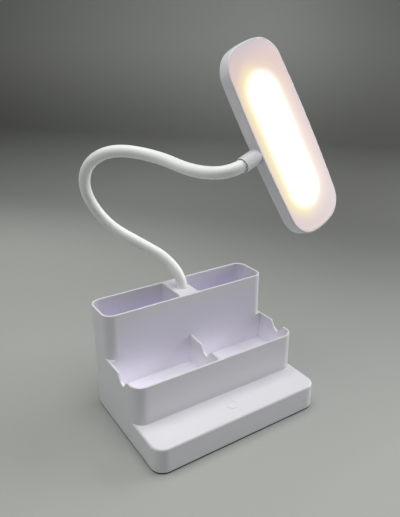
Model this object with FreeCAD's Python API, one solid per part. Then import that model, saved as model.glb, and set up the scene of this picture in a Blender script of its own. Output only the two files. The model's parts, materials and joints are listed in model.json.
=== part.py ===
"""Rechargeable desk lamp on an organiser base with two pen cups, two trays and a phone slot.

Millimetres. X runs along the width, Y towards the back and Z up. The origin is the middle of
the rest face, under the foot mat.
"""
import FreeCAD
import Part
import math
import os

V = FreeCAD.Vector
UP = V(0, 0, 1)

# ---------------------------------------------------------------- organiser shell
base_width = 160.0
base_depth = 116.5
pen_box_height = 99.0        # table to the rim of the pen cups
pen_box_depth = 36.6
tray_height = 58.2           # table to the rim of the trays
tray_depth = 47.6            # tray front to pen box front
ledge_height = 23.5          # table to the top of the front ledge
shell_wall = 1.8
floor_height = 32.0          # table to the floors of the trays and cups
divider_wall = 2.2
post_width = 18.4            # post between the pen cups, over its walls
post_cap = 4.0               # thickness of the post's top
ledge_corner = 11.0          # plan radii of the upright edges
tray_corner = 11.0
pen_box_corner = 9.0
back_corner = 10.0
cup_corner = 3.0             # cup corners beside the post
tray_floor_corner = 2.5
ledge_edge = 1.8             # rounding along the ledge's top
rim_edge = 0.6               # rounding along the thin rims
slot_edge = 0.4              # rounding along the phone slot's edges
mark_radius = 5.0            # raised ring over the touch plate
mark_line = 0.8
mark_height = 0.25

# Phone slot, cut across both side walls and the divider: distances are measured forward
# from the pen box and up from the table.
slot_back = 16.6             # where the flat top ends
slot_heel = 21.2
slot_heel_height = 51.4
slot_bottom = 26.2
slot_bottom_height = 49.7
slot_peak = 33.4             # where the wall is back at full height
slot_round = 2.0
slot_heel_round = 5.0

# ---------------------------------------------------------------- underside
mat_thickness = 1.5
mat_inset = 0.4
cover_thickness = 2.4
cover_gap = 0.15
boss_radius = 3.6
boss_inset_x = 8.5           # boss centre in from the outer side face
boss_inset_y = 8.9           # boss centre in from the front and back faces
cover_screw_radius = 1.3
cover_screw_length = 10.0
screw_head_height = 1.3
screw_slack = 0.05           # running gap round every screw shank
head_slack = 0.15            # gap round every countersunk head
head_set_in = 0.1            # countersunk heads above the cover's underside
drive_share = 0.6            # depth of the hex drive, as a share of the head
drive_flats_share = 0.9      # its flats, as a share of the head's radius
root = 0.5                   # depth that a rib, post or boss shares with its wall

# ---------------------------------------------------------------- power
battery_radius = 9.2
battery_length = 65.2
battery_side_gap = 9.4       # cell's end to the outer side face
battery_y = 8.0
battery_lift = 0.3           # battery above the cover
saddle_thickness = 2.5
saddle_height = 7.0
saddle_spacing = 42.0
saddle_slack = 0.1
saddle_lip = 2.0             # saddle beyond the cell on both sides
stop_gap = 0.2               # between the cell and the tabs at its ends
stop_half_width = 5.0
button_radius = 3.2          # raised contact at one end of the cell
button_height = 1.0
blind_floor = 0.4            # cover left under each blind screw hole
tip_gap = 0.1                # screw tip to the bottom of its hole
strap_thickness = 0.9
strap_width = 10.0
strap_foot = 9.0
small_screw_radius = 1.0
small_head_radius = 1.9
small_head_height = 1.1

board_width = 44.0
board_depth = 26.0
board_thickness = 1.6
board_side_gap = 24.0        # board's edge to the outer side face
board_lift = 4.0             # board above the cover
board_wall_gap = 0.4         # board edge to the back wall
board_hole_inset = 3.5
board_post_radius = 2.6
board_screw_length = 5.0
capacitor_radius = 3.0
capacitor_height = 7.0

socket_width = 8.9
socket_height = 3.2
socket_length = 7.4
socket_shell = 0.3
socket_set_back = 0.6        # socket mouth behind the back face
socket_slack = 0.3
tongue_width = 6.7
tongue_height = 0.7
tongue_set_back = 1.0

ballast_length = 46.0
ballast_depth = 24.0
ballast_height = 8.0
ballast_side_gap = 17.0      # ballast to the outer side face
ballast_front_gap = 6.0      # ballast to the inside of the ledge's front wall
ballast_screw_length = 9.0

touch_radius = 8.0
touch_thickness = 0.5
thin_lead_radius = 0.7
lamp_lead_radius = 1.25
lead_rise = 8.0              # battery lead above the board before it turns down
lamp_lead_rise = 7.5

# ---------------------------------------------------------------- neck
sleeve_radius = 4.7
core_radius = 3.3
core_bore = 1.5
core_slack = 0.05            # hose to sleeve
ball_gap = 0.3               # between the rounded end of a link and the hollow of the next
neck_x = 2.0                 # the neck leaves the post a little right of its middle
neck_back_gap = 19.25        # its middle to the back face
seat_depth = 2.0             # recess in the post's top
seat_slack = 0.1
flange_thickness = 1.2
stud_radius = 3.0
stud_length = 9.5            # threaded stud below the flange
stud_slack = 0.1
washer_thickness = 1.0
washer_side_gap = 0.2        # washer to the inside of the post
nut_flats = 10.0
nut_height = 5.0
arc_share = 0.45             # share of the shorter run that an arc's tangent takes

neck_root = 24.0             # the route starts this far below the post's top
collar_run = 11.9            # last corner to the collar's mouth, along the collar
first_joint = 8.0            # neck's foot to its first joint, along the neck
last_joint = 21.0            # last joint to the end of the sleeve, along the neck
joint_count = 8

# Where the neck is bent to: offsets from the middle of the post's top, as shares of head_rise.
head_rise = 134.4            # the head's middle above the post's top
head_share = V(0.382, -0.470, 1)
neck_shares = [
    V(0, 0, 0.060), V(-0.061, 0.107, 0.189), V(-0.340, 0.385, 0.387), V(-0.486, 0.377, 0.629),
    V(-0.508, 0.253, 0.836), V(-0.415, 0.064, 0.950), V(-0.220, -0.105, 0.916), V(-0.144, -0.390, 0.864),
]

# ---------------------------------------------------------------- lamp head
head_turn = 12.0             # degrees about Z, then about Y, then about X
head_roll = -16.6
head_lean = -20.0
head_length = 149.6          # over the middles of its bulged ends
head_width = 60.0            # across the middle, where the long sides bulge most
head_end_width = 55.0
head_end_bulge = 6.1         # each end's middle beyond its corners
head_thickness = 12.0
head_corner = 19.7
head_wall = 1.6
head_back_edge = 4.0
head_inner_edge = 1.0        # rounding inside, along the back
head_front_edge = 0.8
head_rim = 1.3               # rim of the shell round the diffuser
diffuser_thickness = 2.0
diffuser_gap = 0.1
diffuser_land = 1.2          # step that the diffuser rests on
led_board_length = 118.0
led_board_width = 33.0
led_board_thickness = 1.2
led_post_height = 1.4
led_post_radius = 2.2
led_post_span_x = 26.0
led_post_span_z = 106.0
led_rows = 2
led_columns = 14
led_row_spacing = 16.0
led_pitch = 7.6
led_length = 3.5
led_width = 2.8
led_height = 0.7
led_screw_radius = 0.9
led_screw_length = 2.6
head_lead_end = 12.5         # end of the lead, from the head's middle

collar_length = 16.0
collar_mouth_radius = 5.8
collar_base_radius = 5.95    # less than half the head's thickness
collar_mouth_edge = 0.3
collar_recess_radius = 5.3   # wider mouth of the bore, seen as a dark ring round the sleeve
collar_recess_depth = 1.5
collar_seat = 3.0            # how far the sleeve enters the collar
collar_web = 4.7             # solid end of the collar that the stud passes
ferrule_thickness = 2.0
head_stud_radius = 2.5
head_stud_reach = 5.0        # stud beyond the inside of the head's wall
head_nut_flats = 6.6
head_nut_height = 3.0

# ---------------------------------------------------------------- derived levels
half_width = base_width / 2
front = -base_depth / 2
back = base_depth / 2
pen_front = back - pen_box_depth
tray_front = pen_front - tray_depth
shell_bottom = mat_thickness
cover_top = shell_bottom + cover_thickness
floor_under = floor_height - shell_wall
ledge_under = ledge_height - shell_wall
post_half = post_width / 2
post_inside = post_half - shell_wall
battery_z = cover_top + battery_lift + battery_radius
board_under = cover_top + board_lift
board_top = board_under + board_thickness
board_back = back - shell_wall - board_wall_gap
board_front = board_back - board_depth
socket_z = board_top + socket_height / 2
seat_floor = pen_box_height - seat_depth
sleeve_start = seat_floor + flange_thickness
touch_y = (front + tray_front) / 2
battery_x = -half_width + battery_side_gap + battery_length / 2
battery_end = battery_x + battery_length / 2
board_x = half_width - board_side_gap - board_width / 2
ballast_x = half_width - ballast_side_gap - ballast_length / 2
neck_y = back - neck_back_gap
washer_radius = post_inside - neck_x - washer_side_gap
post_top = V(neck_x, neck_y, pen_box_height)
neck_corners = [post_top + share * head_rise for share in neck_shares]
head_centre = post_top + head_share * head_rise
half_thick = head_thickness / 2
inner_back = half_thick - head_wall
led_back = inner_back - led_post_height
led_front = led_back - led_board_thickness


def save(name, shape):
    """Check a node's shape and write it."""
    if not shape.Solids or not shape.isValid():
        raise ValueError("bad shape: " + name)
    shape.exportStep("parts/" + name + ".step")
    print("%-20s solids %2d  volume %9.1f" % (name, len(shape.Solids), shape.Volume))


# ---------------------------------------------------------------- small helpers
def unit(vector):
    length = vector.Length
    return V(vector.x / length, vector.y / length, vector.z / length)


def box(x0, x1, y0, y1, z0, z1):
    return Part.makeBox(x1 - x0, y1 - y0, z1 - z0, V(x0, y0, z0))


def rod(radius, start, direction, length):
    return Part.makeCylinder(radius, length, start, direction)


def upright_edges(shape, x, y):
    """Edges of a box that stand at one corner of its plan."""
    found = []
    for edge in shape.Edges:
        room = edge.BoundBox
        flat = room.XLength < 0.01 and room.YLength < 0.01
        if flat and abs(room.XMin - x) < 0.01 and abs(room.YMin - y) < 0.01:
            found.append(edge)
    return found


def level_edges(shape, z):
    return [e for e in shape.Edges if abs(e.BoundBox.ZMin - z) < 0.01 and e.BoundBox.ZLength < 0.01]


def plan_block(x0, x1, y0, y1, z0, z1, radii):
    """Upright block with plan corners rounded: front left, front right, back right, back left."""
    block = box(x0, x1, y0, y1, z0, z1)
    for (x, y), radius in zip(((x0, y0), (x1, y0), (x1, y1), (x0, y1)), radii):
        if radius:
            block = block.makeFillet(radius, upright_edges(block, x, y))
    return block


def hexagon(flats, start, direction, length, turn=0):
    """Hexagonal bar, measured across its flats and turned about its axis by an angle in degrees."""
    radius = flats / math.sqrt(3)
    turns = [math.radians(turn + 60 * k) for k in range(7)]
    outline = Part.makePolygon([V(radius * math.cos(a), radius * math.sin(a), 0) for a in turns])
    solid = Part.Face(outline).extrude(V(0, 0, length))
    solid.Placement = FreeCAD.Placement(start, FreeCAD.Rotation(UP, direction))
    return solid


def screw(seat, way, head_radius, head_height, shank_radius, length):
    """Screw whose head bears at seat and whose shank points along way, with a hex drive."""
    head = rod(head_radius, seat, way * -1, head_height)
    shank = rod(shank_radius, seat, way, length)
    top = seat - way * head_height
    drive = hexagon(head_radius * drive_flats_share, top, way, head_height * drive_share)
    return head.fuse(shank).cut(drive)


# ---------------------------------------------------------------- routes of straight runs and arcs
class Straight:
    def __init__(self, start, end):
        self.start = start
        self.way = unit(end - start)
        self.length = start.distanceToPoint(end)

    def point(self, along):
        return self.start + self.way * along

    def heading(self, along):
        return self.way

    def edge(self, begin, end):
        return Part.LineSegment(self.point(begin), self.point(end)).toShape()


class Bend:
    def __init__(self, start, way, side, radius, turn):
        self.way, self.side, self.radius = way, side, radius
        self.centre = start + side * radius
        self.length = radius * turn

    def point(self, along):
        angle = along / self.radius
        return self.centre + (self.way * math.sin(angle) - self.side * math.cos(angle)) * self.radius

    def heading(self, along):
        angle = along / self.radius
        return self.way * math.cos(angle) + self.side * math.sin(angle)

    def edge(self, begin, end):
        middle = self.point((begin + end) / 2)
        return Part.Arc(self.point(begin), middle, self.point(end)).toShape()


def route(name, points):
    """Straight runs through the points, joined by tangent arcs as large as the runs allow."""
    spans, here, radii = [], points[0], []
    for before, corner, after in zip(points, points[1:], points[2:]):
        into, out = unit(corner - before), unit(after - corner)
        turn = into.getAngle(out)
        shorter = min(before.distanceToPoint(corner), corner.distanceToPoint(after))
        reach = arc_share * shorter
        radius = reach / math.tan(turn / 2)
        start = corner - into * reach
        spans.append(Straight(here, start))
        spans.append(Bend(start, into, unit(out - into * into.dot(out)), radius, turn))
        here = corner + out * reach
        radii.append(radius)
    spans.append(Straight(here, points[-1]))
    print("%-20s arc radii %s" % (name, " ".join("%.1f" % r for r in radii)))
    return spans


def length_of(spans):
    return sum(span.length for span in spans)


def stretch(spans, begin, end):
    """Edges of a route between two distances along it."""
    edges, passed = [], 0.0
    for span in spans:
        low, high = max(begin - passed, 0.0), min(end - passed, span.length)
        if high - low > 0.001:
            edges.append(span.edge(low, high))
        passed += span.length
    return edges


def place_at(spans, along):
    """Point and heading at one distance along a route."""
    passed = 0.0
    for span in spans:
        if along <= passed + span.length:
            return span.point(along - passed), span.heading(along - passed)
        passed += span.length
    return spans[-1].point(spans[-1].length), spans[-1].heading(spans[-1].length)


def sweep(edges, radius):
    """Round bar along tangent edges."""
    path = Part.Wire(edges)
    start = edges[0].valueAt(edges[0].FirstParameter)
    way = edges[0].tangentAt(edges[0].FirstParameter)
    ring = Part.Wire([Part.Circle(start, way, radius).toShape()])
    return path.makePipeShell([ring], True, False)


# ---------------------------------------------------------------- organiser shell
def slot_outline():
    """Closed outline, in the YZ plane, of what the phone slot takes from the walls."""
    over = tray_height + 5
    corners = [
        (V(0, pen_front - slot_back, tray_height), slot_round),
        (V(0, pen_front - slot_heel, slot_heel_height), slot_heel_round),
        (V(0, pen_front - slot_bottom, slot_bottom_height), slot_round),
        (V(0, pen_front - slot_peak, tray_height), slot_round),
    ]
    first = V(0, pen_front - slot_back + 6, tray_height)
    last = V(0, pen_front - slot_peak - 6, tray_height)
    points = [first] + [corner for corner, radius in corners] + [last]
    edges, here = [], first
    for before, (corner, radius), after in zip(points, corners, points[2:]):
        into, out = unit(corner - before), unit(after - corner)
        turn = into.getAngle(out)
        reach = radius * math.tan(turn / 2)
        start = corner - into * reach
        edges.append(Part.LineSegment(here, start).toShape())
        bend = Bend(start, into, unit(out - into * into.dot(out)), radius, turn)
        edges.append(bend.edge(0, bend.length))
        here = corner + out * reach
    edges.append(Part.LineSegment(here, last).toShape())
    lid = [last, V(0, last.y, over), V(0, first.y, over), first]
    edges += [Part.LineSegment(a, b).toShape() for a, b in zip(lid, lid[1:])]
    return Part.Wire(edges)


def slot_cutter():
    cutter = Part.Face(slot_outline()).extrude(V(base_width + 4, 0, 0))
    cutter.translate(V(-half_width - 2, 0, 0))
    return cutter


def outer_form():
    ledge = plan_block(-half_width, half_width, front, back, shell_bottom, ledge_height,
                       (ledge_corner, ledge_corner, back_corner, back_corner))
    ledge = ledge.makeFillet(ledge_edge, level_edges(ledge, ledge_height))
    trays = plan_block(-half_width, half_width, tray_front, back, shell_bottom, tray_height,
                       (tray_corner, tray_corner, back_corner, back_corner))
    trays = trays.makeFillet(rim_edge, level_edges(trays, tray_height))
    pens = plan_block(-half_width, half_width, pen_front, back, shell_bottom, pen_box_height,
                      (pen_box_corner, pen_box_corner, back_corner, back_corner))
    pens = pens.makeFillet(rim_edge, level_edges(pens, pen_box_height))
    return ledge.fuse([trays, pens]).removeSplitter()


def inner_space():
    """Room under the ledge, under the floors and up inside the post."""
    inside_x = half_width - shell_wall
    inside_back = back - shell_wall
    back_round = back_corner - shell_wall
    low = shell_bottom - 1
    under_ledge = plan_block(-inside_x, inside_x, front + shell_wall, inside_back, low, ledge_under,
                             (ledge_corner - shell_wall, ledge_corner - shell_wall, back_round, back_round))
    under_floor = plan_block(-inside_x, inside_x, tray_front + shell_wall, inside_back, low, floor_under,
                             (tray_corner - shell_wall, tray_corner - shell_wall, back_round, back_round))
    post = box(-post_inside, post_inside, pen_front + shell_wall, inside_back, low,
               pen_box_height - post_cap)
    return under_ledge.fuse([under_floor, post])


def pocket(side, near, y0, y1, radii):
    """Cup or tray on one side of the middle: near is its distance from the middle."""
    far = half_width - shell_wall
    front_far, front_near, back_near, back_far = radii
    if side < 0:
        return plan_block(-far, -near, y0, y1, floor_height, pen_box_height + 1,
                          (front_far, front_near, back_near, back_far))
    return plan_block(near, far, y0, y1, floor_height, pen_box_height + 1,
                      (front_near, front_far, back_far, back_near))


def pockets():
    found = []
    for side in (-1, 1):
        found.append(pocket(side, post_half, pen_front + shell_wall, back - shell_wall,
                            (pen_box_corner - shell_wall, cup_corner, cup_corner, back_corner - shell_wall)))
        found.append(pocket(side, divider_wall / 2, tray_front + shell_wall, pen_front,
                            (tray_corner - shell_wall, tray_floor_corner, 0, 0)))
    return found


def boss_places():
    xs = (-half_width + boss_inset_x, half_width - boss_inset_x)
    return [(x, y, top) for x in xs
            for y, top in ((front + boss_inset_y, ledge_under), (back - boss_inset_y, floor_under))]


def socket_opening():
    """Rounded slot through the back wall for the charging socket."""
    high = socket_height / 2 + socket_slack
    reach = socket_width / 2 + socket_slack - high
    y0 = back - shell_wall - 1
    length = shell_wall + 2
    ends = [rod(high, V(board_x + side * reach, y0, socket_z), V(0, 1, 0), length) for side in (-1, 1)]
    middle = box(board_x - reach, board_x + reach, y0, y0 + length, socket_z - high, socket_z + high)
    return middle.fuse(ends)


def pocket_rims(shell):
    """Inner edges of the rims, without the seam where a tray's back runs up into the pen box's front."""
    inside_x = half_width - shell_wall + 0.01
    found = []
    for edge in level_edges(shell, pen_box_height) + level_edges(shell, tray_height):
        room = edge.BoundBox
        pen_rim = room.ZMin > tray_height + 0.01
        first = (pen_front if pen_rim else tray_front) + shell_wall - 0.01
        last = back - shell_wall + 0.01 if pen_rim else pen_front + 0.01
        inside = max(room.XMax, -room.XMin) < inside_x and first < room.YMin and room.YMax < last
        seam = not pen_rim and room.YMin > pen_front - 0.01
        if inside and not seam:
            found.append(edge)
    return found


def slot_edges(shell):
    """Edges that the phone slot leaves along the walls, but none that only crosses a wall."""
    first, last = pen_front - slot_peak - slot_round, pen_front - slot_back + slot_round
    found = []
    for edge in shell.Edges:
        room = edge.BoundBox
        in_slot = first < room.YMin and room.YMax < last
        in_rim = room.ZMin > slot_bottom_height - 0.5 and room.ZMax < tray_height + 0.01
        crosses = room.YLength < 0.01 and room.ZLength < 0.01
        if in_slot and in_rim and not crosses:
            found.append(edge)
    return found


def touch_mark():
    """Plain raised ring that shows where to touch the ledge."""
    foot = V(0, touch_y, ledge_height - root)
    outer = rod(mark_radius, foot, UP, mark_height + root)
    return outer.cut(rod(mark_radius - mark_line, foot - UP, UP, mark_height + 3))


def make_body_shell():
    shell = outer_form().cut(inner_space()).cut(pockets())
    shell = shell.makeFillet(rim_edge, pocket_rims(shell)).cut(slot_cutter())
    shell = shell.makeFillet(slot_edge, slot_edges(shell))
    bosses = [rod(boss_radius, V(x, y, cover_top), UP, top - cover_top + root) for x, y, top in boss_places()]
    shell = shell.fuse(bosses + [touch_mark()])
    pilots = [rod(cover_screw_radius + screw_slack, V(x, y, cover_top - 1), UP, cover_screw_length + 1)
              for x, y, top in boss_places()]
    neck_seat = rod(sleeve_radius + seat_slack, V(neck_x, neck_y, seat_floor), UP, seat_depth + 1)
    neck_hole = rod(stud_radius + stud_slack, V(neck_x, neck_y, pen_box_height - post_cap - 1), UP, post_cap)
    return shell.cut(pilots + [neck_seat, neck_hole, socket_opening()]).removeSplitter()


# ---------------------------------------------------------------- cover, mat and ballast
def board_places():
    xs = (board_x - board_width / 2 + board_hole_inset, board_x + board_width / 2 - board_hole_inset)
    ys = (board_front + board_hole_inset, board_back - board_hole_inset)
    return [(x, y) for x in xs for y in ys]


def ballast_places():
    y = front + shell_wall + ballast_front_gap + ballast_depth / 2
    return [(-ballast_x, y), (ballast_x, y)]


def strap_places():
    reach = battery_radius + saddle_slack + strap_thickness + strap_foot / 2
    return [(battery_x, battery_y - reach), (battery_x, battery_y + reach)]


def battery_saddles():
    hollow = rod(battery_radius + saddle_slack, V(battery_x - battery_length, battery_y, battery_z),
                 V(1, 0, 0), 2 * battery_length)
    saddles = []
    for side in (-1, 1):
        x = battery_x + side * saddle_spacing / 2
        rib = box(x - saddle_thickness / 2, x + saddle_thickness / 2,
                  battery_y - battery_radius - saddle_lip, battery_y + battery_radius + saddle_lip,
                  cover_top - root, cover_top + saddle_height)
        saddles.append(rib.cut(hollow))
    return saddles


def battery_stops():
    """Upright tabs at both ends of the cell."""
    tabs = []
    for side in (-1, 1):
        near = battery_x + side * (battery_length / 2 + stop_gap)
        x0, x1 = sorted((near, near + side * saddle_thickness))
        tabs.append(box(x0, x1, battery_y - stop_half_width, battery_y + stop_half_width,
                        cover_top - root, cover_top + saddle_height))
    return tabs


def under_screw_places():
    """Screws that go in from under the cover, each with its seat height."""
    return [(x, y) for x, y, top in boss_places()] + ballast_places()


def make_bottom_cover():
    inside = shell_wall + cover_gap
    plate = plan_block(-half_width + inside, half_width - inside, front + inside, back - inside,
                       shell_bottom, cover_top, (ledge_corner - inside, ledge_corner - inside,
                                                 back_corner - inside, back_corner - inside))
    posts = [rod(board_post_radius, V(x, y, cover_top - root), UP, board_lift + root)
             for x, y in board_places()]
    cover = plate.fuse(battery_saddles() + battery_stops() + posts)
    holes = []
    for x, y in under_screw_places():
        holes.append(rod(cover_screw_radius + screw_slack, V(x, y, 0), UP, cover_top + 1))
        holes.append(rod(cover_screw_radius * 2 + head_slack, V(x, y, 0), UP,
                         shell_bottom + screw_head_height))
    for x, y in board_places():
        holes.append(rod(small_screw_radius + screw_slack, V(x, y, cover_top), UP, board_lift + 1))
    for x, y in strap_places():
        holes.append(rod(small_screw_radius + screw_slack, V(x, y, shell_bottom + blind_floor), UP,
                         cover_thickness))
    return cover.cut(holes).removeSplitter()


def make_foot_mat():
    return plan_block(-half_width + mat_inset, half_width - mat_inset, front + mat_inset, back - mat_inset,
                      0, mat_thickness, (ledge_corner - mat_inset, ledge_corner - mat_inset,
                                         back_corner - mat_inset, back_corner - mat_inset))


def under_screw(x, y, length):
    seat = V(x, y, shell_bottom + screw_head_height)
    return screw(seat, UP, cover_screw_radius * 2, screw_head_height - head_set_in, cover_screw_radius,
                 length)


def make_cover_screws():
    return Part.Compound([under_screw(x, y, cover_screw_length) for x, y, top in boss_places()])


def make_ballast():
    plates = []
    for x, y in ballast_places():
        plate = box(x - ballast_length / 2, x + ballast_length / 2, y - ballast_depth / 2,
                    y + ballast_depth / 2, cover_top, cover_top + ballast_height)
        hole = rod(cover_screw_radius + screw_slack, V(x, y, 0), UP, cover_top + ballast_height + 1)
        plates.append(plate.cut(hole))
    return Part.Compound(plates)


def make_ballast_screws():
    length = ballast_screw_length - shell_bottom - screw_head_height
    return Part.Compound([under_screw(x, y, length) for x, y in ballast_places()])


# ---------------------------------------------------------------- battery
def make_battery_cell():
    x0 = battery_x - battery_length / 2
    can_length = battery_length - button_height
    can = rod(battery_radius, V(x0, battery_y, battery_z), V(1, 0, 0), can_length)
    button = rod(button_radius, V(x0 + can_length, battery_y, battery_z), V(1, 0, 0), button_height)
    return can.fuse(button)


def make_battery_strap():
    inner = battery_radius + saddle_slack
    outer = inner + strap_thickness
    x0 = battery_x - strap_width / 2
    along = V(1, 0, 0)
    arch = rod(outer, V(x0, battery_y, battery_z), along, strap_width)
    arch = arch.common(box(x0, x0 + strap_width, battery_y - outer, battery_y + outer,
                           battery_z, battery_z + outer))
    legs = box(x0, x0 + strap_width, battery_y - outer, battery_y + outer, cover_top, battery_z)
    feet = box(x0, x0 + strap_width, battery_y - outer - strap_foot, battery_y + outer + strap_foot,
               cover_top, cover_top + strap_thickness)
    strap = arch.fuse([legs, feet])
    hollow = rod(inner, V(x0 - 1, battery_y, battery_z), along, strap_width + 2)
    under = box(x0 - 1, x0 + strap_width + 1, battery_y - inner, battery_y + inner, cover_top - 1, battery_z)
    holes = [rod(small_screw_radius + screw_slack, V(x, y, cover_top - 1), UP, strap_thickness + 2)
             for x, y in strap_places()]
    return strap.cut([hollow, under] + holes).removeSplitter()


def make_strap_screws():
    length = strap_thickness + cover_thickness - blind_floor - tip_gap
    seat_z = cover_top + strap_thickness
    return Part.Compound([screw(V(x, y, seat_z), UP * -1, small_head_radius, small_head_height,
                                small_screw_radius, length) for x, y in strap_places()])


# ---------------------------------------------------------------- control board
def make_control_board():
    board = box(board_x - board_width / 2, board_x + board_width / 2, board_front, board_back,
                board_under, board_top)
    holes = [rod(small_screw_radius + screw_slack, V(x, y, board_under - 1), UP, board_thickness + 2)
             for x, y in board_places()]
    return board.cut(holes)


def make_board_screws():
    return Part.Compound([screw(V(x, y, board_top), UP * -1, small_head_radius, small_head_height,
                                small_screw_radius, board_screw_length) for x, y in board_places()])


def flat_slot(half_w, half_h, y0, y1):
    """Bar along Y with round ends, centred on the charging socket."""
    reach = half_w - half_h
    middle = box(board_x - reach, board_x + reach, y0, y1, socket_z - half_h, socket_z + half_h)
    ends = [rod(half_h, V(board_x + side * reach, y0, socket_z), V(0, 1, 0), y1 - y0) for side in (-1, 1)]
    return middle.fuse(ends).removeSplitter()


def make_charging_socket():
    mouth = back - socket_set_back
    tail = mouth - socket_length
    can = flat_slot(socket_width / 2, socket_height / 2, tail, mouth)
    hollow = flat_slot(socket_width / 2 - socket_shell, socket_height / 2 - socket_shell,
                       tail + 1, mouth + 1)
    tongue = box(board_x - tongue_width / 2, board_x + tongue_width / 2, tail + 0.5,
                 mouth - tongue_set_back, socket_z - tongue_height / 2, socket_z + tongue_height / 2)
    return can.cut(hollow).fuse(tongue).removeSplitter()


def make_board_parts():
    """Charger chip, touch chip, inductor and reservoir capacitor on the control board."""
    def chip(across, deep, width, depth, height):
        x, y = board_x + across, board_front + deep
        return box(x - width / 2, x + width / 2, y - depth / 2, y + depth / 2, board_top, board_top + height)
    charger = chip(across=-1, deep=17, width=5, depth=6, height=1.5)
    toucher = chip(across=-14, deep=18, width=4, depth=5, height=1.5)
    inductor = chip(across=5, deep=8, width=6, depth=6, height=3)
    capacitor = rod(capacitor_radius, V(board_x + 14, board_front + 14, board_top), UP, capacitor_height)
    return Part.Compound([charger, toucher, inductor, capacitor])


def make_touch_plate():
    return rod(touch_radius, V(0, touch_y, ledge_under - touch_thickness), UP, touch_thickness)


def lead(name, points, radius):
    spans = route(name, points)
    bar = sweep(stretch(spans, 0, length_of(spans)), radius)
    print("%-20s length %.1f  filled %.4f" % (name, length_of(spans),
          bar.Volume / (math.pi * radius ** 2 * length_of(spans))))
    return bar


def make_touch_lead():
    end = V(board_x - 12, board_front + 5, board_top)
    return lead("touch_lead", [
        V(0, touch_y, ledge_under - touch_thickness), V(0, touch_y, 15), V(3, touch_y + 14, 9),
        V(battery_end + 13, battery_y - 10, 8), V(battery_end + 17, battery_y + 10, 12),
        V(end.x, end.y - 4, 17), V(end.x, end.y, 15), end,
    ], thin_lead_radius)


def make_battery_lead():
    start = V(battery_end, battery_y, battery_z)
    end = V(board_x - 18, board_front + 12, board_top)
    return lead("battery_lead", [
        start, start + V(5, 0, 0), start + V(9, 9, 4), V(start.x + 12, end.y - 11, end.z + lead_rise),
        end + UP * lead_rise, end,
    ], thin_lead_radius)


# ---------------------------------------------------------------- neck
def make_neck_stud():
    """Flange crimped to the hose's foot, with a threaded stud through the post's top."""
    foot = V(neck_x, neck_y, seat_floor)
    flange = rod(sleeve_radius, foot, UP, flange_thickness)
    stud = rod(stud_radius, foot, UP * -1, stud_length)
    bore = rod(core_bore, foot - UP * (stud_length + 1), UP, stud_length + flange_thickness + 2)
    return flange.fuse(stud).cut(bore)


def make_neck_washer():
    low = V(neck_x, neck_y, pen_box_height - post_cap - washer_thickness)
    ring = rod(washer_radius, low, UP, washer_thickness)
    return ring.cut(rod(stud_radius + stud_slack, low - UP, UP, washer_thickness + 2))


def make_neck_nut():
    low = V(neck_x, neck_y, pen_box_height - post_cap - washer_thickness - nut_height)
    nut = hexagon(nut_flats, low, UP, nut_height, turn=30)
    return nut.cut(rod(stud_radius + screw_slack, low - UP, UP, nut_height + 2))


def neck_joints():
    """Distances along the neck's route of its joints."""
    first = neck_foot + first_joint
    last = sleeve_end - last_joint
    pitch = (last - first) / (joint_count - 1)
    return [first + pitch * k for k in range(joint_count)]


def half_ball(along):
    """The rounded end that every link has, before its layers are cut from it."""
    point, way = place_at(neck_route, along)
    return Part.makeSphere(sleeve_radius, point, way, 0, 90, 360)


def layer_end(along, outer, inner):
    """Rounded end of one layer of a link."""
    point, way = place_at(neck_route, along)
    end = half_ball(along)
    if outer < sleeve_radius:
        end = end.common(rod(outer, point - way, way, sleeve_radius + 2))
    if inner:
        end = end.cut(rod(inner, point - way, way, sleeve_radius + 2))
    return end


def hollow_ball(along):
    point, way = place_at(neck_route, along)
    return Part.makeSphere(sleeve_radius + ball_gap, point, way, -90, 90, 360)


def layer(begin, end, outer, inner, starts_at_joint, ends_at_joint):
    """One layer of a link: hollowed where it starts at a joint, rounded where it ends at one."""
    path = stretch(neck_route, begin, end)
    bar = sweep(path, outer)
    if inner:
        bar = bar.cut(sweep(path, inner))
    if ends_at_joint:
        bar = bar.fuse(layer_end(end, outer, inner))
    if starts_at_joint:
        bar = bar.cut(hollow_ball(begin))
    return bar


def link_marks():
    """Start and end of every link along the route, the fixed foot first."""
    joints = neck_joints()
    starts = [neck_foot] + joints
    return list(zip(starts, joints + [sleeve_end]))


def make_sleeve(number):
    begin, end = link_marks()[number]
    return layer(begin, end, sleeve_radius, core_radius + core_slack, number > 0, number < joint_count)


def make_hose(number):
    begin, end = link_marks()[number]
    if number == joint_count:
        end = hose_end
    return layer(begin, end, core_radius, core_bore, number > 0, number < joint_count)


def make_neck_lead(number):
    begin, end = link_marks()[number]
    return layer(begin, end, lamp_lead_radius, 0, True, True)


def make_head_lead():
    return layer(neck_joints()[-1], length_of(neck_route), lamp_lead_radius, 0, True, False)


def make_lamp_lead():
    """Lead from the control board up the post and through the neck's fixed foot."""
    start = V(board_x - 8, board_front + 6, board_top)
    foot = neck_route[0].start
    spans = route("lamp_lead", [
        start, start + UP * lamp_lead_rise, V((start.x + foot.x) / 2, foot.y - 2, 22),
        V(foot.x + 1, foot.y - 1.5, 29), V(foot.x - 2, foot.y - 1, 43), foot - UP * 16, foot,
    ])
    first_joint_mark = neck_joints()[0]
    edges = stretch(spans, 0, length_of(spans)) + stretch(neck_route, 0, first_joint_mark)
    bar = sweep(edges, lamp_lead_radius)
    length = length_of(spans) + first_joint_mark
    print("%-20s length %.1f  filled %.4f" % ("lamp_lead", length,
          bar.Volume / (math.pi * lamp_lead_radius ** 2 * length)))
    return bar.fuse(layer_end(first_joint_mark, lamp_lead_radius, 0))


# ---------------------------------------------------------------- lamp head, in its own frame
def to_head(shape):
    """Move a shape from the head's own frame: X across, front face towards -Y, Z along."""
    moved = shape.copy()
    moved.Placement = head_place.multiply(moved.Placement)
    return moved


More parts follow.
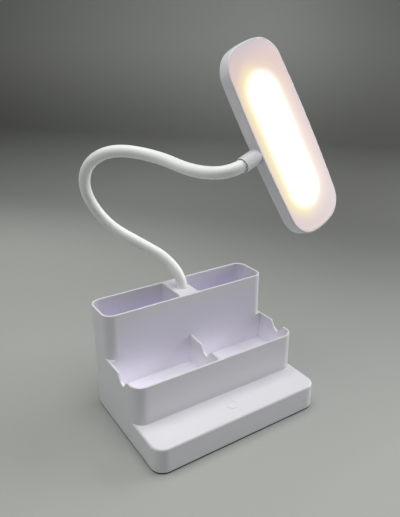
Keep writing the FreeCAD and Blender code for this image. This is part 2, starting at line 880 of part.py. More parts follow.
def head_form(inset, y0, y1):
    """Block of the head's outline: all four sides bulged, corners rounded."""
    wide, long = head_width / 2 - inset, head_length / 2 - inset
    corner_x, corner_z = head_end_width / 2 - inset, long - head_end_bulge
    corners = [V(corner_x, y0, -corner_z), V(corner_x, y0, corner_z), V(-corner_x, y0, corner_z),
               V(-corner_x, y0, -corner_z)]
    middles = [V(wide, y0, 0), V(0, y0, long), V(-wide, y0, 0), V(0, y0, -long)]
    sides = [Part.Arc(start, middle, end).toShape()
             for start, middle, end in zip(corners, middles, corners[1:] + corners[:1])]
    block = Part.Face(Part.Wire(sides)).extrude(V(0, y1 - y0, 0))
    upright = [e for e in block.Edges if e.BoundBox.XLength < 0.01 and e.BoundBox.ZLength < 0.01]
    return block.makeFillet(head_corner - inset, upright)


def edges_at_depth(shape, y):
    return [e for e in shape.Edges if abs(e.BoundBox.YMin - y) < 0.01 and e.BoundBox.YLength < 0.01]


def head_outer():
    form = head_form(0, -half_thick, half_thick)
    form = form.makeFillet(head_back_edge, edges_at_depth(form, half_thick))
    return form.makeFillet(head_front_edge, edges_at_depth(form, -half_thick))


def head_hollow():
    inside = head_form(head_rim + diffuser_land, -half_thick - 1, inner_back)
    return inside.makeFillet(head_inner_edge, edges_at_depth(inside, inner_back))


def led_post_places():
    return [(x * led_post_span_x / 2, z * led_post_span_z / 2) for x in (-1, 1) for z in (-1, 1)]


def make_head_shell():
    seat = head_form(head_rim, -half_thick - 1, -half_thick + diffuser_thickness)
    shell = head_outer().cut([head_hollow(), seat])
    posts = [rod(led_post_radius, V(x, inner_back + 0.3, z), V(0, -1, 0), led_post_height + 0.3)
             for x, z in led_post_places()]
    shell = shell.fuse(posts)
    pilots = [rod(led_screw_radius + screw_slack, V(x, led_back - 0.5, z), V(0, 1, 0), led_screw_length)
              for x, z in led_post_places()]
    stud_hole = rod(head_stud_radius + screw_slack, V(-head_width / 2 - 1, 0, 0), V(1, 0, 0),
                    head_rim + diffuser_land + 2)
    return shell.cut(pilots + [stud_hole]).removeSplitter()


def make_diffuser():
    return head_form(head_rim + diffuser_gap, -half_thick, -half_thick + diffuser_thickness)


def make_led_board():
    board = box(-led_board_width / 2, led_board_width / 2, led_front, led_back,
                -led_board_length / 2, led_board_length / 2)
    holes = [rod(led_screw_radius + screw_slack, V(x, led_front - 1, z), V(0, 1, 0), led_board_thickness + 2)
             for x, z in led_post_places()]
    return board.cut(holes)


def make_led_chips():
    chips = []
    for row in range(led_rows):
        x = (row - (led_rows - 1) / 2) * led_row_spacing
        for column in range(led_columns):
            z = (column - (led_columns - 1) / 2) * led_pitch
            chips.append(box(x - led_width / 2, x + led_width / 2, led_front - led_height, led_front,
                             z - led_length / 2, z + led_length / 2))
    return Part.Compound(chips)


def make_led_screws():
    return Part.Compound([screw(V(x, led_front, z), V(0, 1, 0), led_screw_radius * 2, small_head_height,
                                led_screw_radius, led_screw_length) for x, z in led_post_places()])


def along_collar(distance):
    """Point on the collar's axis, from its mouth, in the head's frame."""
    return V(-head_width / 2 - collar_length + distance, 0, 0)


def make_collar():
    across = V(1, 0, 0)
    body = Part.makeCone(collar_mouth_radius, collar_base_radius, collar_length, along_collar(0), across)
    mouth = [e for e in body.Edges if e.BoundBox.XLength < 0.01 and e.BoundBox.XMin < along_collar(1).x]
    body = body.makeFillet(collar_mouth_edge, mouth)
    foot = rod(collar_base_radius, along_collar(collar_length), across, head_back_edge)
    body = body.fuse(foot).cut(head_outer())
    web = collar_length - collar_web
    seat = rod(sleeve_radius + seat_slack, along_collar(-1), across, collar_seat + 1)
    bore = rod(core_radius + core_slack, along_collar(-1), across, web + 1)
    recess = rod(collar_recess_radius, along_collar(-1), across, collar_recess_depth + 1)
    hole = rod(head_stud_radius + screw_slack, along_collar(-1), across, collar_length + 8)
    return body.cut([recess, seat, bore, hole]).removeSplitter()


def make_head_stud():
    across = V(1, 0, 0)
    web = collar_length - collar_web
    flange = rod(core_radius, along_collar(web - ferrule_thickness), across, ferrule_thickness)
    reach = collar_web + head_rim + diffuser_land + head_stud_reach
    stud = rod(head_stud_radius, along_collar(web), across, reach)
    bore = rod(core_bore, along_collar(0), across, collar_length + 12)
    return flange.fuse(stud).cut(bore)


def make_head_nut():
    across = V(1, 0, 0)
    start = along_collar(collar_length + head_rim + diffuser_land + screw_slack)
    nut = hexagon(head_nut_flats, start, across, head_nut_height)
    return nut.cut(rod(head_stud_radius + screw_slack, start - across, across, head_nut_height + 2))


# ---------------------------------------------------------------- whole lamp
head_place = FreeCAD.Placement(head_centre, FreeCAD.Rotation(V(0, 0, 1), head_turn)
                               * FreeCAD.Rotation(V(0, 1, 0), head_roll)
                               * FreeCAD.Rotation(V(1, 0, 0), head_lean))
collar_way = head_place.Rotation.multVec(V(1, 0, 0))
collar_mouth = head_place.multVec(along_collar(0))
neck_route = route("neck", [V(neck_x, neck_y, pen_box_height - neck_root)] + neck_corners + [
    collar_mouth - collar_way * collar_run,
    collar_mouth + collar_way * (collar_length + head_width / 2 - head_lead_end),
])
mouth_mark = length_of(neck_route) - (collar_length + head_width / 2 - head_lead_end)
neck_foot = sleeve_start - (pen_box_height - neck_root)
sleeve_end = mouth_mark + collar_seat
hose_end = mouth_mark + collar_length - collar_web - ferrule_thickness


def main():
    os.makedirs("parts", exist_ok=True)
    base_pieces = {
        "body_shell": make_body_shell, "bottom_cover": make_bottom_cover, "foot_mat": make_foot_mat,
        "cover_screws": make_cover_screws, "ballast_plates": make_ballast,
        "ballast_screws": make_ballast_screws, "battery_cell": make_battery_cell,
        "battery_strap": make_battery_strap, "strap_screws": make_strap_screws,
        "battery_lead": make_battery_lead, "control_board": make_control_board,
        "board_screws": make_board_screws, "board_parts": make_board_parts,
        "charging_socket": make_charging_socket, "touch_plate": make_touch_plate,
        "touch_lead": make_touch_lead, "lamp_lead": make_lamp_lead, "neck_stud": make_neck_stud,
        "neck_washer": make_neck_washer, "neck_nut": make_neck_nut,
    }
    for name, make in base_pieces.items():
        save(name, make())
    for number in range(joint_count + 1):
        save("neck_sleeve_%d" % number, make_sleeve(number))
        save("neck_hose_%d" % number, make_hose(number))
    for number in range(1, joint_count):
        save("neck_lead_%d" % number, make_neck_lead(number))
    save("head_lead", make_head_lead())
    head_pieces = {
        "head_shell": make_head_shell, "head_diffuser": make_diffuser, "led_board": make_led_board,
        "led_chips": make_led_chips, "led_screws": make_led_screws, "head_collar": make_collar,
        "head_stud": make_head_stud, "head_nut": make_head_nut,
    }
    for name, make in head_pieces.items():
        save(name, to_head(make()))


main()
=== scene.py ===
import json
import math
import bpy
from mathutils import Euler, Matrix, Vector


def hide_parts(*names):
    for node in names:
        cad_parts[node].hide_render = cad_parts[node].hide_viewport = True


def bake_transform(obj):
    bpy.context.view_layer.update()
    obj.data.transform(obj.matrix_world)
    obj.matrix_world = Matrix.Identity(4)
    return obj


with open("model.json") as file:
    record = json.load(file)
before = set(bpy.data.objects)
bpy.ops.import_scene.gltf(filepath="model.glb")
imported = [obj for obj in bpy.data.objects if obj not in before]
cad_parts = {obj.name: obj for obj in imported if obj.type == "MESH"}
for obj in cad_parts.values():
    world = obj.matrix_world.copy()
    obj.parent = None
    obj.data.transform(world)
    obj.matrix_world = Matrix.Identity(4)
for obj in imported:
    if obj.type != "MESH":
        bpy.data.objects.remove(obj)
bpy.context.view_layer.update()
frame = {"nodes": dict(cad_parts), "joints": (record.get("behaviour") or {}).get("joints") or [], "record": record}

mm = 0.001


def point(place):
    return Vector(place) * mm


# The head's place and tilt. Its own X runs across it, its lit face looks along -Y and Z runs along it.
# Lengths here and below are in millimetres and angles in degrees, where no note says otherwise.
headSeat = {
    "postTop": (2.0, 39.0, 99.0),
    "rise": 134.4,  # of the head's middle over the post's top
    "share": (0.382, -0.470, 1.0),  # the head's middle, in rises
    "turn": 12.0,
    "roll": -16.6,
    "lean": -20.0,
    "width": 60.0,
    "collarLength": 16.0,
}


def headTurning():
    turn = Matrix.Rotation(math.radians(headSeat["turn"]), 3, "Z")
    roll = Matrix.Rotation(math.radians(headSeat["roll"]), 3, "Y")
    lean = Matrix.Rotation(math.radians(headSeat["lean"]), 3, "X")
    return turn @ roll @ lean


def aboveThePost(share):
    # A place on the neck or the head, given in rises from the middle of the post's top
    return point(headSeat["postTop"]) + Vector(share) * headSeat["rise"] * mm


headAxes = headTurning()
headAcross, headLong = headAxes.col[0].copy(), headAxes.col[2].copy()
headCentre = aboveThePost(headSeat["share"])
collarMouth = headCentre - headAcross * (headSeat["width"] / 2 + headSeat["collarLength"]) * mm


# Nodes
class Wire:
    # A number that leaves a node, with the usual operators
    def __init__(self, tree, socket):
        self.tree, self.socket = tree, socket

    def math(self, operation, *values):
        return addNode(self.tree, "ShaderNodeMath", {"operation": operation}, values)

    def atLeast(self, low):
        return self.math("MAXIMUM", self, low)

    def __add__(self, other):
        return self.math("ADD", self, other)

    def __sub__(self, other):
        return self.math("SUBTRACT", self, other)

    def __rsub__(self, other):
        return self.math("SUBTRACT", other, self)

    def __mul__(self, other):
        return self.math("MULTIPLY", self, other)

    def __pow__(self, other):
        return self.math("POWER", self, other)

    def __abs__(self):
        return self.math("ABSOLUTE", self)

    def __gt__(self, other):
        return self.math("GREATER_THAN", self, other)

    def __lt__(self, other):
        return self.math("LESS_THAN", self, other)

    __radd__ = __add__
    __rmul__ = __mul__


def addNode(tree, kind, settings=None, values=(), out=0):
    node = tree.nodes.new(kind)
    for name, value in (settings or {}).items():
        setattr(node, name, value)
    pairs = values.items() if isinstance(values, dict) else enumerate(values)
    for key, value in pairs:
        socket = node.inputs[key]
        if isinstance(value, Wire):
            tree.links.new(value.socket, socket)
        elif value is not None:
            socket.default_value = value
    return Wire(tree, node.outputs[out])


class Finish:
    # One material: its tree, its shader and the place that its patterns are drawn from
    def __init__(self, name, **constants):
        self.material = bpy.data.materials.new(name)
        self.material.use_nodes = True
        self.tree = self.material.node_tree
        self.shader = self.tree.nodes["Principled BSDF"]
        self.place = self.node("ShaderNodeTexCoord", out="Object")
        for socket, value in constants.items():
            self.shader.inputs[socket.replace("_", " ")].default_value = value

    def node(self, kind, settings=None, values=(), out=0):
        return addNode(self.tree, kind, settings, values, out)

    def noise(self, size, detail, place=None):
        # size is that of one patch
        values = {"Vector": place or self.place, "Scale": 1 / (size * mm), "Detail": detail}
        return self.node("ShaderNodeTexNoise", None, values)

    def ramp(self, value, low, high):
        # 0 below low, 1 above high and smooth between them
        settings = {"interpolation_type": "SMOOTHSTEP"}
        values = {"Value": value, "From Min": low, "From Max": high, "To Min": 0.0, "To Max": 1.0}
        return self.node("ShaderNodeMapRange", settings, values, "Result")

    def rampOver(self, value, span):
        low, high = span
        return self.ramp(value, low * mm, high * mm)

    def mix(self, share, first, second):
        values = {0: share, 6: first, 7: second}  # the colour sockets of a Mix node
        return self.node("ShaderNodeMix", {"data_type": "RGBA"}, values, 2)

    def mottled(self, share, colour, steps):
        darker, lighter = steps
        return self.mix(share, shaded(colour, darker), shaded(colour, lighter))

    def along(self, direction, origin):
        # Distance from origin along a direction, in metres
        values = (self.place, tuple(direction))
        reach = self.node("ShaderNodeVectorMath", {"operation": "DOT_PRODUCT"}, values, "Value")
        return reach - direction.dot(origin)

    def coordinates(self):
        ways = ((1, 0, 0), (0, 1, 0), (0, 0, 1))
        return [self.along(Vector(way), Vector()) for way in ways]

    def feed(self, **values):
        for name, value in values.items():
            self.tree.links.new(value.socket, self.shader.inputs[name.replace("_", " ")])

    def bump(self, height):
        # height is in millimetres
        values = {"Height": height, "Distance": mm, "Strength": 1.0}
        self.feed(Normal=self.node("ShaderNodeBump", None, values))


def shaded(colour, step=1.0):
    return tuple(min(1.0, part * step) for part in colour) + (1.0,)


# Moulded plastics
plastics = {
    "kinds": {
        "head": {"colour": (0.775, 0.765, 0.80), "roughness": 0.34},
        "collar": {"colour": (0.67, 0.675, 0.69), "roughness": 0.38},
        "cover": {"colour": (0.66, 0.655, 0.69), "roughness": 0.55},
        "shell": {"colour": (0.77, 0.765, 0.80), "roughness": 0.34},
    },
    "gloss": 0.5,
    "cloudSize": 60.0,
    "cloudSteps": (0.985, 1.015),
    "cloudRoughness": 0.05,
    "grainSize": 0.55,
    "grainHeight": 0.012,
    "grainRoughness": 0.06,
    "waveSize": 38.0,
    "waveHeight": 0.05,
}

# Painted light and shade in the cups and trays: their insides are painted brighter and lilac, more so with depth,
# standing in for the light and shade there
insideLightPaint = {
    # Painted light: tray floors brighter, cups brighter and lilac, the cups' front a lilac glow
    "trayPaintedLight": (0.945, 0.925, 1.0),
    "cupPaintedLight": (0.88, 0.845, 1.0),
    "facePaintedGlow": (0.77, 0.752, 0.835),
    "halfWidth": 80.0,
    "wall": 0.9,
    "cups": {"front": 21.65, "back": 58.25, "corner": 9.0, "rim": 99.0},
    "trays": {"front": -25.95, "back": 58.25, "corner": 11.0, "rim": 58.2},
    "penFace": 20.5,
    "cupsFrom": 22.5,
    "faceReach": 74.0,
    "faceFade": 10.0,
    "depth": 24.0,
}


def mouldedPlastic(name, look, withInsidePaint=False):
    finish = Finish(name, Specular_IOR_Level=plastics["gloss"])
    cloud = finish.noise(plastics["cloudSize"], detail=3.0)
    grain = finish.noise(plastics["grainSize"], detail=2.0)
    wave = finish.noise(plastics["waveSize"], detail=1.0)
    base = finish.mottled(cloud, look["colour"], plastics["cloudSteps"])
    # Only the shell gets painted light and shade inside its cups and trays
    if withInsidePaint:
        base = paintInsideLightAndShade(finish, base)
    roughness = look["roughness"] + (grain - 0.5) * plastics["grainRoughness"]
    roughness = roughness + (cloud - 0.5) * plastics["cloudRoughness"]
    finish.feed(Base_Color=base, Roughness=roughness)
    finish.bump(grain * plastics["grainHeight"] + wave * plastics["waveHeight"])
    return finish.material


def insidePaintShare(finish, x, y, z, room):
    # 0 outside a room's rounded outline or at its rim, rising to 1 with depth
    corner = room["corner"]
    away = y - (room["front"] + room["back"]) / 2 * mm
    across = abs(x) - (insideLightPaint["halfWidth"] - corner) * mm
    along = abs(away) - ((room["back"] - room["front"]) / 2 - corner) * mm
    past = (across.atLeast(0.0) ** 2.0 + along.atLeast(0.0) ** 2.0) ** 0.5
    within = past < (corner - insideLightPaint["wall"]) * mm
    return within * finish.rampOver(room["rim"] * mm - z, (0.0, insideLightPaint["depth"]))


def paintInsideLightAndShade(finish, base):
    # Paints light and shade into the base colour: brighter lilac inside the cups and trays, a lilac glow on the
    # cups' front
    x, y, z = finish.coordinates()
    inCup = y > insideLightPaint["cupsFrom"] * mm
    cups, trays = (insidePaintShare(finish, x, y, z, insideLightPaint[room]) for room in ("cups", "trays"))
    # The cups' outer front, over the trays, gets a painted lilac glow too, standing in for light through its thin
    # wall, but not round its corners
    onFace = (1 - inCup) * (y > insideLightPaint["penFace"] * mm)
    fromCorner = insideLightPaint["faceReach"] * mm - abs(x)
    fromRim = insideLightPaint["cups"]["rim"] * mm - z
    face = onFace * finish.rampOver(fromCorner, (0.0, insideLightPaint["faceFade"]))
    face = face * finish.rampOver(fromRim, (0.0, insideLightPaint["depth"]))
    base = finish.mix(face, base, shaded(insideLightPaint["facePaintedGlow"]))
    # The painted colour: brighter and lilac in the cups, brighter still in the trays
    paintedLightColour = finish.mix(inCup, shaded(insideLightPaint["trayPaintedLight"]), shaded(insideLightPaint["cupPaintedLight"]))
    return finish.mix(inCup * cups + (1 - inCup) * trays, base, paintedLightColour)


# The neck's soft sleeve
sleeveLook = {
    "colour": (0.945, 0.965, 0.94),
    "roughness": 0.42,
    "gloss": 0.45,
    "cloudSize": 25.0,
    "cloudSteps": (0.975, 1.02),
    "cloudRoughness": 0.08,
    "cloudHeight": 0.08,
    "grainSize": 0.8,
    "grainHeight": 0.02,
}


def softSleeve():
    finish = Finish("softSleeve", Specular_IOR_Level=sleeveLook["gloss"])
    cloud = finish.noise(sleeveLook["cloudSize"], detail=3.0)
    grain = finish.noise(sleeveLook["grainSize"], detail=3.0)
    base = finish.mottled(cloud, sleeveLook["colour"], sleeveLook["cloudSteps"])
    roughness = sleeveLook["roughness"] + (cloud - 0.5) * sleeveLook["cloudRoughness"]
    finish.feed(Base_Color=base, Roughness=roughness)
    finish.bump(grain * sleeveLook["grainHeight"] + cloud * sleeveLook["cloudHeight"])
    return finish.material


# The lit front: a white band over the light board, a warm halo round it and a milky rest.
# Each blend gives where one colour starts to give way to the next, from the band's middle.
glow = {
    "bandCentre": (-2.8, -1.0),
    "bandHalfWidth": 15.7,
    "bandHalfLength": 52.5,
    "edge": 12.0,
    "haloReach": 15.0,
    "waverSize": 9.0,
    "waver": 1.2,
    "bandColour": (1.0, 1.0, 0.97),
    "leftHalo": (0.655, 0.565, 0.265),
    "rightHalo": (0.60, 0.50, 0.41),
    "topHalo": (0.53, 0.41, 0.29),
    "bottomRest": (0.46, 0.375, 0.36),
    "topRest": (0.45, 0.32, 0.29),
    "topEdge": (0.35, 0.30, 0.315),
    "leftToRight": (-12.0, 8.0),
    "rightToTop": (22.0, 50.0),
    "bottomToTop": (-40.0, 40.0),
    "topToEdge": (60.0, 76.0),
    "strength": 1.2,
    "milky": (0.20, 0.195, 0.20),
    "roughness": 0.38,
    "grainSize": 0.5,
    "grainRoughness": 0.1,
    "grainHeight": 0.008,
}


def litDiffuser():
    finish = Finish("litDiffuser", Base_Color=shaded(glow["milky"]), Emission_Strength=glow["strength"])
    across = finish.along(headAcross, headCentre) - glow["bandCentre"][0] * mm
    along = finish.along(headLong, headCentre) - glow["bandCentre"][1] * mm
    run = (glow["bandHalfLength"] - glow["bandHalfWidth"]) * mm
    beyond = (abs(along) - run).atLeast(0.0)
    off = (across * across + beyond * beyond) ** 0.5 - glow["bandHalfWidth"] * mm
    off = off + (finish.noise(glow["waverSize"], detail=2.0) - 0.5) * glow["waver"] * mm
    lit = 1 - finish.rampOver(off, (-glow["edge"] / 2, glow["edge"] / 2))
    halo = 1 - finish.rampOver(off, (0.0, glow["haloReach"]))

    def blend(value, span, first, second):
        return finish.mix(finish.rampOver(value, glow[span]), first, second)

    rightSide = blend(along, "rightToTop", shaded(glow["rightHalo"]), shaded(glow["topHalo"]))
    haloColour = blend(across, "leftToRight", shaded(glow["leftHalo"]), rightSide)
    restColour = blend(along, "bottomToTop", shaded(glow["bottomRest"]), shaded(glow["topRest"]))
    restColour = blend(along, "topToEdge", restColour, shaded(glow["topEdge"]))
    colour = finish.mix(lit, finish.mix(halo, restColour, haloColour), shaded(glow["bandColour"]))
    grain = finish.noise(glow["grainSize"], detail=2.0)
    finish.feed(Emission_Color=colour, Roughness=glow["roughness"] + grain * glow["grainRoughness"])
    finish.bump(grain * glow["grainHeight"])
    return finish.material


# Metals
metals = {
    "kinds": {
        "steel": {"colour": (0.56, 0.56, 0.58), "roughness": 0.26},
        "ballast": {"colour": (0.36, 0.35, 0.35), "roughness": 0.49},
        "brass": {"colour": (0.74, 0.57, 0.27), "roughness": 0.22},
        "copper": {"colour": (0.82, 0.45, 0.28), "roughness": 0.24},
    },
    "gloss": 0.5,
    "streakSize": 0.35,
    "streakStretch": (0.08, 1.0, 1.0),
    "streakRoughness": 0.18,
    "streakHeight": 0.015,
    "blotchSize": 7.0,
    "blotchSteps": (0.85, 1.1),
}


def brushedMetal(name, look):
    finish = Finish(name, Specular_IOR_Level=metals["gloss"], Metallic=1.0)
    values = {"Vector": finish.place, "Scale": metals["streakStretch"]}
    stretched = finish.node("ShaderNodeMapping", None, values)
    streak = finish.noise(metals["streakSize"], detail=3.0, place=stretched)
    blotch = finish.noise(metals["blotchSize"], detail=3.0)
    base = finish.mottled(blotch, look["colour"], metals["blotchSteps"])
    finish.feed(Base_Color=base, Roughness=look["roughness"] + streak * metals["streakRoughness"])
    finish.bump(streak * metals["streakHeight"])
    return finish.material


# The mat and the small inner pieces
smallPieces = {
    "kinds": {
        "matRubber": {"colour": (0.018, 0.018, 0.02), "roughness": 0.82, "grain": 0.7, "height": 0.06},
        "boardGreen": {"colour": (0.02, 0.16, 0.07), "roughness": 0.35, "grain": 1.4, "height": 0.01},
        "boardWhite": {"colour": (0.78, 0.78, 0.76), "roughness": 0.45, "grain": 1.2, "height": 0.01},
        "chipBlack": {"colour": (0.02, 0.02, 0.022), "roughness": 0.5, "grain": 0.3, "height": 0.02},
        "chipYellow": {"colour": (0.90, 0.70, 0.16), "roughness": 0.3, "grain": 0.4, "height": 0.01},
        "cellWrap": {"colour": (0.02, 0.12, 0.36), "roughness": 0.28, "grain": 6.0, "height": 0.03},
        "leadRed": {"colour": (0.42, 0.02, 0.015), "roughness": 0.45, "grain": 1.0, "height": 0.02},
        "leadGrey": {"colour": (0.12, 0.12, 0.13), "roughness": 0.5, "grain": 1.0, "height": 0.02},
    },
    "gloss": 0.5,
    "grainRoughness": 0.12,
    "patchSize": 12.0,
    "patchSteps": (0.9, 1.1),
}


def smallFinish(name, look):
    finish = Finish(name, Specular_IOR_Level=smallPieces["gloss"])
    grain = finish.noise(look["grain"], detail=3.0)
    patch = finish.noise(smallPieces["patchSize"], detail=2.0)
    base = finish.mottled(patch, look["colour"], smallPieces["patchSteps"])
    roughness = look["roughness"] + (grain - 0.5) * smallPieces["grainRoughness"]
    finish.feed(Base_Color=base, Roughness=roughness)
    finish.bump(grain * look["height"])
    return finish.material


# The shell's cups and trays get painted light and shade inside
finishes = {
    name: mouldedPlastic(name + "Plastic", look, withInsidePaint=name == "shell")
    for name, look in plastics["kinds"].items()
}
finishes.update({name: brushedMetal(name, look) for name, look in metals["kinds"].items()})
finishes.update({name: smallFinish(name, look) for name, look in smallPieces["kinds"].items()})
finishes["sleeve"] = softSleeve()
finishes["diffuser"] = litDiffuser()
print("materials", len(finishes))

# Which finish each solid gets, by the record's own slots
slotFinish = {
    "shell_white": "shell", "head_white": "head", "collar_white": "collar", "cover_grey": "cover",
    "mat_black": "matRubber", "diffuser_milky": "diffuser", "sleeve_white": "sleeve",
    "hose_steel": "steel", "strap_steel": "steel", "screw_steel": "steel", "ballast_steel": "ballast",
    "brass": "brass", "electrode": "copper", "lead_red": "leadRed", "lead_grey": "leadGrey",
    "cell_blue": "cellWrap", "board_green": "boardGreen", "led_board_white": "boardWhite",
    "led_yellow": "chipYellow", "chip_black": "chipBlack",
}


def dressSolids():
    for part in frame["record"]["subparts"]:
        solid = frame["nodes"][part["node"]]
        material = finishes[slotFinish[part["material_slot"]]]
        if not solid.material_slots:
            solid.data.materials.append(material)
        for held in solid.material_slots:
            held.material = material


dressSolids()
print("solids dressed", len(frame["nodes"]))

# Camera
cameraSeat = {
    "place": (-218.9, -335.05, 304.2),
    "pitch": 67.69,
    "heading": -32.65,
    "roll": -0.28,
    "focalPixels": 536.0,
    "framePixels": 517,  # the frame's longer side
    "sensor": 36.0,
    "clip": (10.0, 20000.0),
}


def makeCamera():
    data = bpy.data.cameras.new("camera")
    data.sensor_width = cameraSeat["sensor"]
    data.lens = cameraSeat["sensor"] * cameraSeat["focalPixels"] / cameraSeat["framePixels"]
    data.clip_start, data.clip_end = (reach * mm for reach in cameraSeat["clip"])
    camera = bpy.data.objects.new("camera", data)
    heading = Matrix.Rotation(math.radians(cameraSeat["heading"]), 4, "Z")
    pitch = Matrix.Rotation(math.radians(cameraSeat["pitch"]), 4, "X")
    roll = Matrix.Rotation(math.radians(cameraSeat["roll"]), 4, "Z")
    camera.matrix_world = Matrix.Translation(point(cameraSeat["place"])) @ heading @ pitch @ roll
    bpy.context.scene.collection.objects.link(camera)
    bpy.context.scene.camera = camera


makeCamera()
print("camera placed")


def meshPiece(name, mesh, material):
    piece = bpy.data.objects.new(name, mesh)
    bpy.context.scene.collection.objects.link(piece)
    mesh.materials.clear()
    mesh.materials.append(material)
    return piece


def asMesh(source):
    # A plain mesh of an object as its curve and modifiers make it
    graph = bpy.context.evaluated_depsgraph_get()
    return bpy.data.meshes.new_from_object(source.evaluated_get(graph))


# The neck: a soft tube that follows one smooth path from the post to the collar. Its corners are
# given in rises, as the head's middle is.
neck = {
    "radius": 4.7,
    "bore": 3.35,
    "footHeight": 98.2,
    "intoCollar": 3.0,
    "collarRun": 11.9,
    "sides": 48,
    "step": 0.9,
    "footReach": 10.0,  # a reach round the lowest joint; the path's points at that reach are looked up, and nothing further uses them
    "bendReach": 17.5,  # and that round the others
    "sharpFrom": 50.0,
    "corners": [
        (0, 0, -0.179), (0, 0, -0.119), (0, 0, 0.060), (-0.061, 0.107, 0.189),
        (-0.178, 0.224, 0.272), (-0.340, 0.385, 0.387), (-0.486, 0.377, 0.629),
        (-0.508, 0.253, 0.836), (-0.415, 0.064, 0.950), (-0.220, -0.105, 0.916),
        (-0.144, -0.390, 0.864),
    ],
}


def neckPath():
    corners = [aboveThePost(share) for share in neck["corners"]]
    corners.append(collarMouth - headAcross * neck["collarRun"] * mm)
    corners.append(collarMouth + headAcross * neck["intoCollar"] * mm)
    curve = bpy.data.curves.new("neckPath", "CURVE")
    curve.dimensions = "3D"
    spline = curve.splines.new("NURBS")
    spline.points.add(len(corners) - 1)
    for held, corner in zip(spline.points, corners):
        held.co = (*corner, 1.0)
    spline.order_u = 3
    spline.use_endpoint_u = True
    spline.resolution_u = 32
    path = bpy.data.objects.new("neckPath", curve)
    bpy.context.scene.collection.objects.link(path)
    return path


def pathPoints(path):
    line = asMesh(path)
    found = [held.co.copy() for held in line.vertices]
    bpy.data.meshes.remove(line)
    return found


def marks(points):
    # Distance of each point from the path's start
    found = [0.0]
    for before, after in zip(points, points[1:]):
        found.append(found[-1] + (after - before).length)
    return found


def nearest(points, places, spot):
    best = min(range(len(points)), key=lambda index: (points[index] - spot).length)
    return places[best]


def atMark(points, places, mark):
    return next((spot for spot, place in zip(points, places) if place >= mark), points[-1])


def tubeTree(material):
    # Round tube along a stretch of the object's own path
    tree = bpy.data.node_groups.new("tubeAlongPath", "GeometryNodeTree")
    face = tree.interface
    face.new_socket("Path", in_out="INPUT", socket_type="NodeSocketGeometry")
    for name in ("Radius", "From", "To", "Step"):
        face.new_socket(name, in_out="INPUT", socket_type="NodeSocketFloat")
    face.new_socket("Sides", in_out="INPUT", socket_type="NodeSocketInt")
    face.new_socket("Tube", in_out="OUTPUT", socket_type="NodeSocketGeometry")
    given = tree.nodes.new("NodeGroupInput")
    taken = {held.name: Wire(tree, held) for held in given.outputs if held.name}
    cut = addNode(tree, "GeometryNodeTrimCurve", {"mode": "LENGTH"},
                  {0: taken["Path"], 4: taken["From"], 5: taken["To"]})
    even = addNode(tree, "GeometryNodeResampleCurve", {"mode": "LENGTH"},
                   {"Curve": cut, "Length": taken["Step"]})
    ring = addNode(tree, "GeometryNodeCurvePrimitiveCircle", None,
                   {"Resolution": taken["Sides"], "Radius": taken["Radius"]})
    tube = addNode(tree, "GeometryNodeCurveToMesh", None, {"Curve": even, "Profile Curve": ring})
    smooth = addNode(tree, "GeometryNodeSetShadeSmooth", None, {0: tube})
    real = addNode(tree, "GeometryNodeRealizeInstances", None, {0: smooth})
    done = addNode(tree, "GeometryNodeSetMaterial", None, {"Geometry": real, "Material": material})
    tree.links.new(done.socket, tree.nodes.new("NodeGroupOutput").inputs[0])
    return tree


def grown(source, tree, inputs):
    # What a tree makes on an object, as a plain mesh
    modifier = source.modifiers.new("tree", "NODES")
    modifier.node_group = tree
    items = [held for held in tree.interface.items_tree if held.in_out == "INPUT"]
    sockets = {held.name: held.identifier for held in items}
    for name, value in inputs.items():
        modifier[sockets[name]] = value
    bpy.context.view_layer.update()
    mesh = asMesh(source)
    source.modifiers.remove(modifier)
    return mesh


def wallIn(piece, thickness):
    # Gives a closed skin its wall, inwards
    solid = piece.modifiers.new("wall", "SOLIDIFY")
    solid.thickness = thickness * mm
    solid.offset = -1.0
    solid.use_rim = True
    walled = asMesh(piece)
    walled.set_sharp_from_angle(angle=math.radians(neck["sharpFrom"]))
    piece.modifiers.remove(solid)
    piece.data = walled


def makeNeck():
    path = neckPath()
    points = pathPoints(path)
    places = marks(points)
    foot = next(m for p, m in zip(points, places) if p.z >= neck["footHeight"] * mm)
    joints = [nearest(points, places, Vector(joint["pos_m"])) for joint in frame["joints"]]
    ends = [foot] + [(a + b) / 2 for a, b in zip(joints, joints[1:])] + [places[-1]]
    tree = tubeTree(finishes["sleeve"])
    for number, (joint, mark) in enumerate(zip(frame["joints"], joints)):
        reach = neck["bendReach" if number else "footReach"] * mm
        inputs = {"Radius": neck["radius"] * mm, "From": ends[number], "To": ends[number + 1],
                  "Step": neck["step"] * mm, "Sides": neck["sides"]}
        skin = grown(path, tree, inputs)
        piece = meshPiece("sleeveStretch%d" % (number + 1), skin, finishes["sleeve"])
        wallIn(piece, neck["radius"] - neck["bore"])
        atMark(points, places, mark - reach)
        atMark(points, places, mark + reach)
        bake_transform(piece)
        covered = ["neck_sleeve_%d" % number]
        if number == len(joints) - 1:
            covered.append("neck_sleeve_%d" % (number + 1))
        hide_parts(*covered)
    bpy.data.objects.remove(path)
    print("neck", len(joints), "stretches, length", round(places[-1] - foot, 4))


makeNeck()

# Stage, in metres: a pale floor that turns up into a backdrop behind the lamp. Painted shade darkens it further
# back, painted light makes the backdrop lighter higher up, and a painted shadow lies to the right of the lamp
stageLook = {
    "colour": (0.385, 0.405, 0.375),
    "cloudSize": 220.0,  # in millimetres
    "cloudSteps": (0.99, 1.01),
    "roughness": 0.7,
    # Painted shade further back, painted light higher up the backdrop
    "farPaintedShade": (0.145, 0.152, 0.142),
    "fade": (0.24, 0.56),
    "highPaintedLight": (0.55, 0.57, 0.545),
    "rise": (-0.16, 0.34),
    # A painted shadow on the floor, to the right and further back
    "paintedShadowColour": (0.0, 0.0, 0.0),
    "shade": 0.42,
    "shadeAcross": (-0.45, 0.15),
    "shadeAway": (-0.06, 0.38),
    "turn": -52.0,
    "near": -1.6,
    "far": 1.3,
    "bend": 0.5,
    "height": 2.2,
    "halfWidth": 2.6,
    "bendSteps": 24,
}


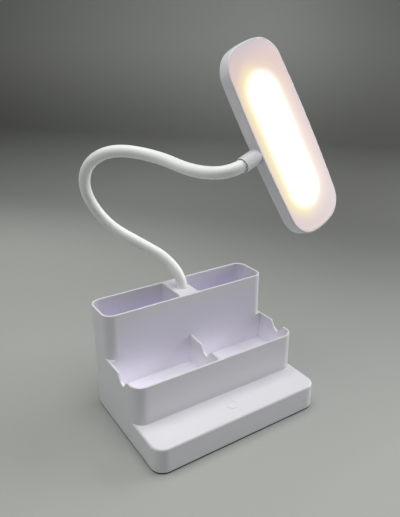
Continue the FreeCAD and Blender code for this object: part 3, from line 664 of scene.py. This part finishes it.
def floorPaint():
    finish = Finish("paleFloor", Roughness=stageLook["roughness"])
    cloud = finish.noise(stageLook["cloudSize"], detail=2.0)
    near = finish.mottled(cloud, stageLook["colour"], stageLook["cloudSteps"])
    across, back, up = finish.coordinates()
    # Painted shade: darker further back, lighter again higher up the backdrop
    rise = finish.ramp(up, *stageLook["rise"])
    far = finish.mix(rise, shaded(stageLook["farPaintedShade"]), shaded(stageLook["highPaintedLight"]))
    colour = finish.mix(finish.ramp(back, *stageLook["fade"]), near, far)
    # Painted shadow, darker to the right and further back
    shade = finish.ramp(across, *stageLook["shadeAcross"]) * finish.ramp(back, *stageLook["shadeAway"])
    darkened = finish.mix(shade * stageLook["shade"], colour, shaded(stageLook["paintedShadowColour"]))
    finish.feed(Base_Color=darkened)
    return finish.material


def makeStage():
    profile = [(stageLook["near"], 0.0)]
    radius, steps = stageLook["bend"], stageLook["bendSteps"]
    for step in range(steps + 1):
        angle = math.pi / 2 * step / steps
        place = (stageLook["far"] + radius * math.sin(angle), radius * (1 - math.cos(angle)))
        profile.append(place)
    profile.append((stageLook["far"] + radius, stageLook["height"]))
    half = stageLook["halfWidth"]
    places = [(side * half, y, z) for y, z in profile for side in (-1, 1)]
    faces = [(2 * k, 2 * k + 1, 2 * k + 3, 2 * k + 2) for k in range(len(profile) - 1)]
    mesh = bpy.data.meshes.new("floor")
    mesh.from_pydata(places, [], faces)
    mesh.polygons.foreach_set("use_smooth", [True] * len(faces))
    floor = meshPiece("floor", mesh, floorPaint())
    floor.rotation_euler = Euler((0, 0, math.radians(stageLook["turn"])))


makeStage()

# Light, in metres and watts: soft square lamps, all aimed at one place in the object
light = {
    "aim": (0.0, 0.0, 0.1),
    "lamps": {
        "above": {
            "place": (0.0, 0.0, 1.4), "size": 1.0, "power": 12.5, "colour": (1.0, 0.99, 0.97)},
        "right": {
            "place": (1.3, -0.3, 0.5), "size": 0.9, "power": 13.4, "colour": (0.965, 0.95, 1.0)},
        "highLeft": {
            "place": (-0.9, 0.1, 1.1), "size": 0.9, "power": 3.2, "colour": (1.0, 1.0, 1.0)},
        "highRight": {
            "place": (0.9, 0.2, 1.1), "size": 0.9, "power": 1.3, "colour": (1.0, 1.0, 1.0)},
        "front": {
            "place": (-0.2, -0.9, 1.1), "size": 0.9, "power": 1.8, "colour": (0.98, 0.98, 1.0)},
        "lowLeft": {
            "place": (-1.1, 0.9, 0.45), "size": 0.9, "power": 2.5, "colour": (0.98, 0.98, 1.0)},
    },
    "skyColour": (0.80, 0.80, 0.86),
    "skyStrength": 0.02,
}


def makeLamps():
    for name, lamp in light["lamps"].items():
        data = bpy.data.lights.new(name, "AREA")
        data.shape = "SQUARE"
        data.size = lamp["size"]
        data.energy = lamp["power"]
        data.color = lamp["colour"]
        held = bpy.data.objects.new(name, data)
        held.location = lamp["place"]
        way = Vector(light["aim"]) - Vector(lamp["place"])
        held.rotation_euler = way.to_track_quat("-Z", "Y").to_euler()
        bpy.context.scene.collection.objects.link(held)


def makeSky():
    world = bpy.data.worlds.new("sky")
    world.use_nodes = True
    background = world.node_tree.nodes["Background"]
    background.inputs["Color"].default_value = shaded(light["skyColour"])
    background.inputs["Strength"].default_value = light["skyStrength"]
    bpy.context.scene.world = world
    bpy.context.scene.view_settings.view_transform = "Standard"


makeLamps()
makeSky()
print("stage and lamps set")
